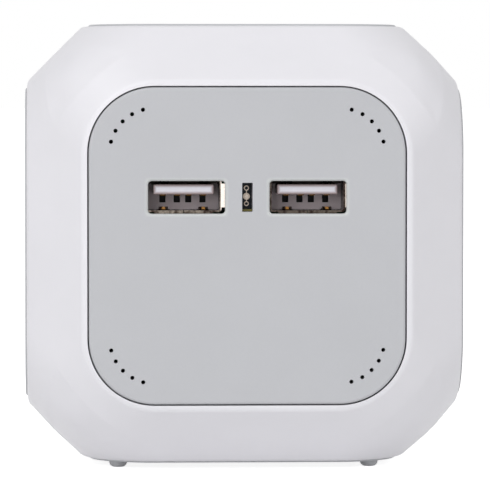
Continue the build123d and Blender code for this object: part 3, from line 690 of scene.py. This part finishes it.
# ---- USB shells ----
# Each receptacle is a box folded from tin-plated steel and soldered to the board. Its mouth
# is flared on all four sides, and sprung fingers in its top and bottom grip the plug.
shell_places = (-0.011, 0.01045)
shell_row = 0.0087
shell_inside = (0.0125, 0.00512)
shell_metal = 0.0003
shell_mouth = 0.0372
shell_corner = 0.0006
flare_width = 0.0006
flare_long = 0.0101
flare_short = 0.0041
finger_places = (-0.00345, 0.00345)
finger_width = 0.0016
finger_metal = 0.00022
finger_bend_round = 0.0003
finger_slot = (0.0022, 0.0052)
finger_line = ((-0.0062, -0.00015), (-0.003, 0.00045), (-0.002, 0.0005), (-0.0012, 0.0001))
seam_width = 0.00012
lip_edge_round = 0.00012
reflection_lip_from = 0.0065       # across from a shell's middle, where the painted reflection on its lip begins,
reflection_lip_shift = 0.00008     # and how much further out on the right shell than on average
dark_from, dark_by = 0.00012, 0.0004               # behind the mouth, where the painted shade inside begins and where it is full
tip_row = -0.0019              # the raised tips of the lower fingers, under a shell's middle
tip_reach = 0.0005             # and how far above and below that they go
# half the width of the painted highlight down each finger's tip
tip_highlight_half_width = 0.00028

# Tin plate, with fine lines along the way it was drawn. The right lip of each mouth carries a
# painted reflection of the lamps; the other lips are dull and blotched, darker on the right
# shell. Inside, painted shade takes it to brown and dark by its depth behind the mouth, and
# the raised tips of the lower fingers carry a painted highlight, bronze in the middle.
tinned_steel = new_finish("tin_plated_steel")
place = add_node(tinned_steel, "TexCoord").outputs["Object"]
stretch = add_node(tinned_steel, "Mapping", {"Scale": (1, 0.12, 1), "Vector": place})
drawn = add_node(tinned_steel, "TexNoise", {"Vector": stretch, "Scale": 2600, "Detail": 3})
blotch = add_node(tinned_steel, "TexNoise", {"Vector": place, "Scale": 1300, "Detail": 4})
blotch_share = add_node(tinned_steel, "MapRange", {"Value": blotch, "From Min": 0.38,
                                            "From Max": 0.62})
dull = add_node(tinned_steel, "Mix", {0: blotch_share, 6: "#362C27", 7: "#7E756B"}, data_type="RGBA")
reflection_tone = add_node(tinned_steel, "Mix", {0: drawn, 6: "#E6DAD0", 7: "#F4EAE2"},
                  data_type="RGBA")

spot = add_node(tinned_steel, "SeparateXYZ", {"Vector": place}).outputs
between = sum(shell_places) / 2
# The dull lips of the right shell are taken darker than those of the left.
which = add_node(tinned_steel, "Math", {0: spot["X"], 1: between}, operation="SUBTRACT")
which = add_node(tinned_steel, "Math", {0: which}, operation="SIGN")
darker = add_node(tinned_steel, "Math", {0: which, 1: 0.3, 2: 0.3}, operation="MULTIPLY_ADD")
dull = add_node(tinned_steel, "Mix", {0: darker, 6: dull, 7: "#241C19"}, data_type="RGBA")
shell_middle = add_node(tinned_steel, "Math", {0: which, 1: shell_places[1] - between,
                                               2: between}, operation="MULTIPLY_ADD")
across = add_node(tinned_steel, "Math", {0: spot["X"], 1: shell_middle}, operation="SUBTRACT")
# Painted reflection: the right lip of each mouth takes the bright tone.
lip_from = add_node(tinned_steel, "Math", {0: which, 1: reflection_lip_shift, 2: reflection_lip_from},
                    operation="MULTIPLY_ADD")
reflecting_lip = add_node(tinned_steel, "Math", {0: across, 1: lip_from}, operation="GREATER_THAN")
tone = add_node(tinned_steel, "Mix", {0: reflecting_lip, 6: dull, 7: reflection_tone}, data_type="RGBA")
# Painted shade: the tin goes dark with its depth behind the mouth, where little light reaches.
depth = add_node(tinned_steel, "MapRange", {
    "Value": spot["Y"], "From Min": -shell_mouth + dark_from,
    "From Max": -shell_mouth + dark_by})
tone = add_node(tinned_steel, "Mix", {0: depth, 6: tone, 7: "#1E1916"}, data_type="RGBA")

# Painted light on the raised tips of the lower fingers: a lighter tone across each finger, and
# a painted bronze highlight down its middle, which is not metallic.
from_finger = across
for operation, number in (("ABSOLUTE", 0), ("SUBTRACT", finger_places[1]), ("ABSOLUTE", 0)):
    from_finger = add_node(tinned_steel, "Math", {0: from_finger, 1: number},
                           operation=operation)
raised = add_node(tinned_steel, "Math", {0: spot["Z"], 1: middle.z + shell_row + tip_row,
                                         2: tip_reach}, operation="COMPARE")
for reach, colour in ((finger_width / 2 + 0.0001, "#A09288"), (tip_highlight_half_width, "#C08C50")):
    painted_tip_light = add_node(tinned_steel, "Math", {0: from_finger, 1: reach}, operation="LESS_THAN")
    painted_tip_light = add_node(tinned_steel, "Math", {0: raised, 1: painted_tip_light}, operation="MULTIPLY")
    tone = add_node(tinned_steel, "Mix", {0: painted_tip_light, 6: tone, 7: colour}, data_type="RGBA")
metal = add_node(tinned_steel, "Math", {0: 1, 1: painted_tip_light}, operation="SUBTRACT")
sheen = add_node(tinned_steel, "MapRange", {"Value": drawn, "To Min": 0.2, "To Max": 0.36})
close_finish(tinned_steel, tone, {"Metallic": metal, "Roughness": sheen}, (0.1, 0.00001, drawn))


def finger(x, y, side):
    """One sprung finger: a narrow strip, bent into the shell and out again at its tip."""
    start_z, start_y = finger_line[0]
    bpy.ops.object.select_all(action="DESELECT")
    bpy.ops.mesh.primitive_plane_add(size=1, location=(x, y + side * start_y,
                                                       shell_mouth + start_z - 0.0002))
    strip = bpy.context.object
    strip.rotation_euler = (pi / 2, 0, 0)
    strip.scale = (finger_width, 0.0004, 1)
    settle()
    bpy.ops.object.mode_set(mode="EDIT")
    reach, level = start_z, start_y
    for next_z, next_y in finger_line[1:]:
        choose(strip, "EDGE", lambda e: all(
            abs(v.co.z - shell_mouth - reach) < 1e-6 for v in e.verts))
        bpy.ops.mesh.extrude_region_move(TRANSFORM_OT_translate={
            "value": (0, side * (next_y - level), next_z - reach)})
        reach, level = next_z, next_y
    choose(strip, "EDGE", lambda e: len(e.link_faces) == 2)
    bpy.ops.mesh.bevel(offset=finger_bend_round, segments=3, affect="EDGES",
                       clamp_overlap=True)
    bpy.ops.object.mode_set(mode="OBJECT")
    thick = strip.modifiers.new("thick", "SOLIDIFY")
    thick.thickness = finger_metal
    thick.offset = 0
    only(strip)
    bpy.ops.object.modifier_apply(modifier="thick")
    return strip


for label, x in zip(("left", "right"), shell_places):
    inner_x, inner_y = shell_inside
    outer_x, outer_y = inner_x + 2 * shell_metal, inner_y + 2 * shell_metal
    shell = rounded_block(outer_x, outer_y, board_front, shell_mouth, shell_corner, 5, x,
                          shell_row)
    shell.name = f"usb_shell_{label}_folded"
    for side in (-1, 1):
        lip_y = shell_row + side * (outer_y + flare_width) / 2
        lip_x = x + side * (outer_x + flare_width) / 2
        carve(shell, rounded_block(flare_long, flare_width + 0.0003, shell_mouth - 0.0003,
                                   shell_mouth, 0.0002, 2, x, lip_y), "UNION")
        carve(shell, rounded_block(flare_width + 0.0003, flare_short, shell_mouth - 0.0003,
                                   shell_mouth, 0.0002, 2, lip_x, shell_row), "UNION")
    carve(shell, rounded_block(inner_x, inner_y, board_front + shell_metal,
                               shell_mouth + 0.001, shell_corner - shell_metal, 4, x,
                               shell_row))
    round_edges(shell, lambda e: at_level(e, shell_mouth)
                and any(abs(f.normal.z) < 0.5 for f in e.link_faces)
                and e.calc_face_angle(0) > 0.5, lip_edge_round, 3, True)
    slit_y = shell_row - (inner_y + shell_metal) / 2
    carve(shell, rounded_block(seam_width, 0.002, shell_mouth - 0.004, shell_mouth + 0.001,
                               0.00003, 1, x, slit_y - 0.0004))
    for side in (-1, 1):
        wall_y = shell_row + side * (inner_y + shell_metal) / 2
        for offset in finger_places:
            slot_middle = shell_mouth - 0.0009 - finger_slot[1] / 2
            carve(shell, rounded_block(finger_slot[0], 2 * shell_metal,
                                       slot_middle - finger_slot[1] / 2,
                                       slot_middle + finger_slot[1] / 2, 0.0001, 1,
                                       x + offset, wall_y))
            carve(shell, finger(x + offset, shell_row + side * inner_y / 2, -side), "UNION")
    put_on_face(shell, "front")
    smooth(shell)
    shell.data.materials.append(tinned_steel)
    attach(shell, "root")
    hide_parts(f"usb_shell_{label}")


# ---- USB tongues and contacts ----
# White heat-resistant nylon: a block that closes the back of each receptacle, and the tongue
# that carries the four gilt contacts on its underside. They come out of four square holes.
tongue_size = (0.0105, 0.00177)
tongue_above = 0.00105         # above the middle of the shell
tongue_front = 0.0366
block_front = 0.03
contact_holes = (-0.0035, -0.001, 0.001, 0.0035)
contact_hole = (0.0011, 0.00154)
contact_hole_row = 0.008095
contact_hole_depth = 0.00216
tongue_round = 0.00025
tongue_end_round = 0.00042
shaded_rim = (-0.0006, -0.0002)        # across the tongue's edge, where its front is dimmed
hole_dark_from, hole_dark_by = 0.00005, 0.0003     # behind the block's front

# The moulded nylon has a soft sheen and a faint cloudiness. Little light reaches into the
# shell, so the tones follow the depth there: dimmed round the tongue's edge, brown on the
# block above the tongue, and black inside the holes.
white_nylon = new_finish("white_nylon_moulded")
place = add_node(white_nylon, "TexCoord").outputs["Object"]
cloud = add_node(white_nylon, "TexNoise", {"Vector": place, "Scale": 700, "Detail": 3})
tone = add_node(white_nylon, "Mix", {0: cloud, 6: "#E2E0E8", 7: "#EFEDF5"}, data_type="RGBA")
spot = add_node(white_nylon, "SeparateXYZ", {"Vector": place}).outputs
sunk = add_node(white_nylon, "MapRange", {
    "Value": spot["Y"], "From Min": -tongue_front + 0.0002, "From Max": -block_front - 0.0003})
tone = add_node(white_nylon, "Mix", {0: sunk, 6: tone, 7: "#F0E2E6"}, data_type="RGBA")

sideways = spot["X"]
for operation, number in (("SUBTRACT", sum(shell_places) / 2), ("ABSOLUTE", 0),
                          ("SUBTRACT", (shell_places[1] - shell_places[0]) / 2)):
    sideways = add_node(white_nylon, "Math", {0: sideways, 1: number}, operation=operation)
upward = add_node(white_nylon, "Math", {
    0: spot["Z"], 1: middle.z + shell_row + tongue_above}, operation="SUBTRACT")
past = []
for way, size in zip((sideways, upward), tongue_size):
    apart = add_node(white_nylon, "Math", {0: way}, operation="ABSOLUTE")
    past.append(add_node(white_nylon, "Math", {0: apart, 1: size / 2}, operation="SUBTRACT"))
edge = add_node(white_nylon, "Math", dict(enumerate(past)), operation="MAXIMUM")
edge = add_node(white_nylon, "MapRange", {"Value": edge, "From Min": shaded_rim[0],
                                          "From Max": shaded_rim[1]})
ahead = add_node(white_nylon, "Math", {0: spot["Y"], 1: -block_front - 0.0001},
                 operation="LESS_THAN")
edge = add_node(white_nylon, "Math", {0: edge, 1: ahead}, operation="MULTIPLY")
above = add_node(white_nylon, "Math", {0: upward, 1: tongue_size[1] / 2},
                 operation="GREATER_THAN")
hole = add_node(white_nylon, "MapRange", {
    "Value": spot["Y"], "From Min": -block_front + hole_dark_from,
    "From Max": -block_front + hole_dark_by})
for share, colour in ((edge, "#A39394"), (above, "#5A4D49"), (hole, "#040303")):
    tone = add_node(white_nylon, "Mix", {0: share, 6: tone, 7: colour}, data_type="RGBA")
sheen = add_node(white_nylon, "MapRange", {"Value": cloud, "To Min": 0.35, "To Max": 0.5})
close_finish(white_nylon, tone, {"IOR": 1.53, "Specular IOR Level": 0.15, "Roughness": sheen},
             (0.12, 0.00001, cloud))

for label, x in zip(("left", "right"), shell_places):
    tongue = rounded_block(*shell_inside, board_front + shell_metal, block_front,
                           shell_corner - shell_metal, 4, x, shell_row)
    tongue.name = f"usb_tongue_{label}_moulded"
    blade = rounded_block(*tongue_size, board_front + shell_metal + 0.001, tongue_front,
                          tongue_round, 3, x, shell_row + tongue_above)
    round_edges(blade, lambda e: at_level(e, tongue_front), tongue_end_round, 4, True)
    carve(tongue, blade, "UNION")
    for offset in contact_holes:
        carve(tongue, rounded_block(*contact_hole, block_front - contact_hole_depth,
                                    block_front + 0.001, 0.0001, 2, x + offset,
                                    contact_hole_row))
    put_on_face(tongue, "front")
    smooth(tongue)
    tongue.data.materials.append(white_nylon)
    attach(tongue, "root")
    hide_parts(f"usb_tongue_{label}")

# The gilt is given a dark brown: painted shade, as the contacts lie deep in the shell.
shaded_gilt_bronze = mottled("gilt_phosphor_bronze_painted_shade", {"Scale": 1800, "Detail": 3},
                      ("#4A3216", "#6E4E26"), (0.2, 0.34), {"Metallic": 1.0})
dress("usb_contacts_left", shaded_gilt_bronze)
dress("usb_contacts_right", shaded_gilt_bronze)


# ---- Charger board ----
# Glass-epoxy laminate under green solder mask, screwed to the front panel's posts. The mask
# is glossy, and the weave of the glass shows through it as a faint grid of about 0.5 mm.
green_laminate = new_finish("solder_masked_laminate")
place = add_node(green_laminate, "TexCoord").outputs["Object"]
threads = [add_node(green_laminate, "TexWave", {"Scale": 320, "Vector": place},
                    bands_direction=way).outputs["Fac"] for way in ("X", "Z")]
weave = add_node(green_laminate, "Math", dict(enumerate(threads)), operation="MULTIPLY")
tone = add_node(green_laminate, "Mix", {0: weave, 6: "#1E5538", 7: "#2C6E4A"},
                data_type="RGBA")
close_finish(green_laminate, tone, {"IOR": 1.55, "Roughness": 0.24}, (0.1, 0.00001, weave))
dress("usb_board", green_laminate)


# ---- Transformer ----
# A sintered ferrite core, dark grey with fine pores, and a winding of enamelled copper wire
# that shows as close turns of 0.3 mm.
ferrite = mottled("sintered_ferrite", {"Scale": 2200, "Detail": 4}, ("#2D2D30", "#454548"),
                  0.62, {"IOR": 1.6}, (0.5, 0.00003))
dress("transformer_core", ferrite)

enamelled_copper = new_finish("enamelled_copper_wire")
place = add_node(enamelled_copper, "TexCoord").outputs["Object"]
turns = add_node(enamelled_copper, "TexWave", {"Scale": 530, "Vector": place},
                 bands_direction="Y").outputs["Fac"]
tone = add_node(enamelled_copper, "Mix", {0: turns, 6: "#6E3416", 7: "#C06F35"},
                data_type="RGBA")
close_finish(enamelled_copper, tone, {"Metallic": 0.7, "Roughness": 0.3},
             (0.8, 0.0001, turns))
dress("transformer_winding", enamelled_copper)


# ---- Capacitors, fuse and chip ----
# Electrolytic cans in shrunk PVC sleeves, and parts potted or moulded in epoxy: a yellow
# film capacitor, and a black fuse and controller.
can_top = -0.0325

shrunk_sleeve = new_finish("shrunk_pvc_sleeve")
place = add_node(shrunk_sleeve, "TexCoord").outputs["Object"]
creases = add_node(shrunk_sleeve, "TexNoise", {"Vector": place, "Scale": 600, "Detail": 3})
depth = add_node(shrunk_sleeve, "SeparateXYZ", {"Vector": place}).outputs["Y"]
bare = add_node(shrunk_sleeve, "Math", {0: depth, 1: can_top}, operation="LESS_THAN")
tone = add_node(shrunk_sleeve, "Mix", {0: bare, 6: "#1D2230", 7: "#C6C8CB"}, data_type="RGBA")
close_finish(shrunk_sleeve, tone, {"Roughness": 0.32, "Metallic": bare},
             (0.2, 0.00003, creases))
dress("input_capacitor", shrunk_sleeve)
dress("output_capacitors", shrunk_sleeve)

for finish_name, dark, light, roughness, node_names in (
        ("yellow_epoxy_case", "#B8912C", "#CDA63C", 0.42, ("film_capacitor",)),
        ("black_moulded_epoxy", "#1B1B1D", "#2A2A2D", 0.5, ("fuse", "control_chip"))):
    epoxy = mottled(finish_name, {"Scale": 1500, "Detail": 3}, (dark, light), roughness,
                    {"IOR": 1.55}, (0.2, 0.00002))
    for node_name in node_names:
        dress(node_name, epoxy)


# ---- Indicator ----
# A small lamp behind the slot between the two windows, in a black holder. Through its dark
# epoxy the slot shows the bright cup in the middle, a bonding ring above and below it, and
# the edge of a yellow-green strip at the bottom.
lamp_front = 0.034
lamp_size = (0.0026, 0.0058)
cup_row = 0.00848
cup_radius = 0.0006
ring_rows = (0.00992, 0.00721)
ring_radii = (0.00037, 0.00034)
ring_wire = 0.00008
strip_rows = (0.0057, 0.00625)

dark_epoxy = mottled("dark_cast_epoxy", {"Scale": 1300, "Detail": 3}, ("#0C0F18", "#1B2231"),
                     0.3, {"Specular IOR Level": 0.15}, (0.15, 0.00002))
dress("led_holder", dark_epoxy)

# The slight glow stands in for the light that the lamp's lens gathers on its silvered parts.
silvered_copper = mottled("silvered_copper", {"Scale": 3000, "Detail": 3},
                          ("#E2D2C2", "#FFF4EA"), 0.4,
                          {"Metallic": 0.2, "Emission Strength": 0.24,
                           "Emission Color": "#F0DCC8"})

olive_strip = mottled("yellow_green_varnish", {"Scale": 2500, "Detail": 3},
                      ("#B4A650", "#D6CA78"), 0.35, {"IOR": 1.5})

lamp_body = rounded_block(*lamp_size, board_front + 0.003, lamp_front, 0.0002, 3, 0, usb_row)
lamp_body.name = "led_body_cast"
lamp_body.data.materials.append(dark_epoxy)
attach(put_on_face(lamp_body, "front"), "root")
smooth(lamp_body)
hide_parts("led_body")

bpy.ops.object.select_all(action="DESELECT")
bpy.ops.mesh.primitive_uv_sphere_add(segments=32, ring_count=16, radius=cup_radius,
                                     location=(0, cup_row, lamp_front))
cup = bpy.context.object
cup.name = "led_cup"
cup.scale = (1, 1, 0.3)
settle()
for row, radius in zip(ring_rows, ring_radii):
    bpy.ops.object.select_all(action="DESELECT")
    bpy.ops.mesh.primitive_torus_add(major_radius=radius, minor_radius=ring_wire,
                                     major_segments=32, minor_segments=8,
                                     location=(0, row, lamp_front))
    ring = bpy.context.object
    settle()
    carve(cup, ring, "UNION")
link = rounded_block(0.00012, ring_rows[0] - ring_rows[1] - 2 * ring_radii[0],
                     lamp_front - 0.0001, lamp_front + 0.00008, 0.00003, 1, 0,
                     (ring_rows[0] + ring_rows[1]) / 2)
carve(cup, link, "UNION")
cup.data.materials.append(silvered_copper)
put_on_face(cup, "front")
smooth(cup)
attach(cup, "root")
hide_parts("led_frame")

varnish = rounded_block(lamp_size[0], strip_rows[1] - strip_rows[0], lamp_front - 0.001,
                        lamp_front + 0.0002, 0.00005, 1, 0, sum(strip_rows) / 2)
varnish.name = "led_strip"
varnish.data.materials.append(olive_strip)
put_on_face(varnish, "front")
smooth(varnish)
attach(varnish, "root")


# ---- Cord inlet ----
# A bush of soft grey PVC pressed into the lower rear strip, square to it. Its collar lies on
# the strip, and its bore lines the hole for the cord.
bush_bore = 0.004
bush_sleeve = 0.005
bush_length = 0.008
bush_collar = 0.006
bush_collar_height = 0.0012
bush_round = 0.0007

grey_pvc = mottled("grey_soft_pvc", {"Scale": 400, "Detail": 4}, ("#55575B", "#66686D"),
                   (0.5, 0.66), {"IOR": 1.53}, (0.2, 0.00002))

bush = turned_rod(bush_sleeve, strip_plane - bush_length, strip_plane, steps=72)
bush.name = "inlet_bush"
collar = turned_rod(bush_collar, strip_plane - 0.00002, strip_plane + bush_collar_height,
                    steps=72)
round_edges(collar, lambda e: all(
    v.co.z > strip_plane + 0.9 * bush_collar_height for v in e.verts), bush_round, 5)
carve(bush, collar, "UNION")
carve(bush, turned_rod(bush_bore, strip_plane - bush_length - 0.001,
                       strip_plane + bush_collar_height + 0.001, steps=72))
put_on_face(bush, "inlet")
smooth(bush)
bush.data.materials.append(grey_pvc)
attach(bush, "root")
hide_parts("inlet_gland")


# ---- Floor, lamps and camera ----
# A plain pale floor that shows white apart from the object's soft shadow, a white world, and
# three large soft lamps in front: above on the left, on the right, and low on the left.
def seen_directly(finish):
    """One for a ray from the camera, a reflection or a clear body, and nought for others."""
    path = add_node(finish, "LightPath").outputs
    seen = path["Is Camera Ray"]
    for name in ("Is Glossy Ray", "Is Transmission Ray"):
        seen = add_node(finish, "Math", {0: seen, 1: path[name]}, operation="MAXIMUM")
    return seen


floor_white = new_finish("white_floor")
lift = add_node(floor_white, "Math", {0: seen_directly(floor_white), 1: 0.84},
                operation="MULTIPLY")
close_finish(floor_white, "#E6E6E6",
             {"Roughness": 0.9, "Specular IOR Level": 0.0, "Emission Color": "#FFFFFF",
              "Emission Strength": lift})
bpy.ops.object.select_all(action="DESELECT")
bpy.ops.mesh.primitive_plane_add(size=40, location=(0, 0, 0))
floor = bpy.context.object
floor.name = "floor"
floor.data.materials.append(floor_white)

world = bpy.data.worlds.new("white_room")
bpy.context.scene.world = world
world.use_nodes = True
world.node_tree.nodes.clear()
strength = add_node(world, "MapRange", {"Value": seen_directly(world), "To Min": 0.4})
sky = add_node(world, "Background", {"Color": "#FFFFFF", "Strength": strength})
add_node(world, "OutputWorld", {"Surface": sky})

for lamp_name, place, size, power in (("key_lamp", (-0.9, -1.3, 1.5), 1.2, 12.5),
                                      ("fill_lamp", (1.3, -1.2, 0.7), 1.4, 7.2),
                                      ("low_lamp", (-0.75, -1.6, 0.4), 1.1, 8.8)):
    bpy.ops.object.light_add(type="AREA", location=place)
    lamp = bpy.context.object
    lamp.name = lamp_name
    lamp.data.size = size
    lamp.data.energy = power
    lamp.rotation_euler = (middle - Vector(place)).to_track_quat("-Z", "Y").to_euler()

bpy.ops.object.camera_add(location=(-0.02977, -0.7385, 0.0655))
camera = bpy.context.object
camera.data.sensor_width = 36
camera.data.lens = 298.3
aim = Vector((-0.00043, -0.0385, 0.03978))
camera.rotation_euler = (aim - camera.location).to_track_quat("-Z", "Y").to_euler()
bpy.context.scene.camera = camera
bpy.context.scene.view_settings.view_transform = "Standard"
